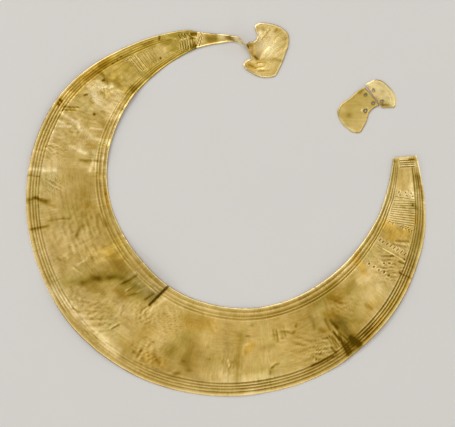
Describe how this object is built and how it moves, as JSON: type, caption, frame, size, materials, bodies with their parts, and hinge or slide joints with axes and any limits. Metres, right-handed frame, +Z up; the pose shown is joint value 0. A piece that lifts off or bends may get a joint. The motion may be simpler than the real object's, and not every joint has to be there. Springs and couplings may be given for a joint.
{
  "type": "gold lunula",
  "caption": "Flat crescent collar of thin beaten gold with engraved borders, a twisted neck ending in a spread terminal, and its broken-off other terminal beside it.",
  "frame": {"origin": "middle of the plan's bounding box, on the surface that the lunula lies on", "axes": "+Z up out of the decorated face, +Y towards the open side of the collar, +X towards the horn that has lost its terminal"},
  "size_m": [0.2196, 0.2052, 0.0053],
  "materials": {
    "beaten_gold": "satin beaten gold with bright rims, fine scratches and brown stains",
    "terminal_gold": "plain satin gold, a little paler, with bright broken edges"
  },
  "bodies": {
    "root": {"lunula_sheet": "beaten_gold", "terminal_fragment_large": "terminal_gold", "terminal_fragment_small": "terminal_gold"}
  },
  "joints": []
}
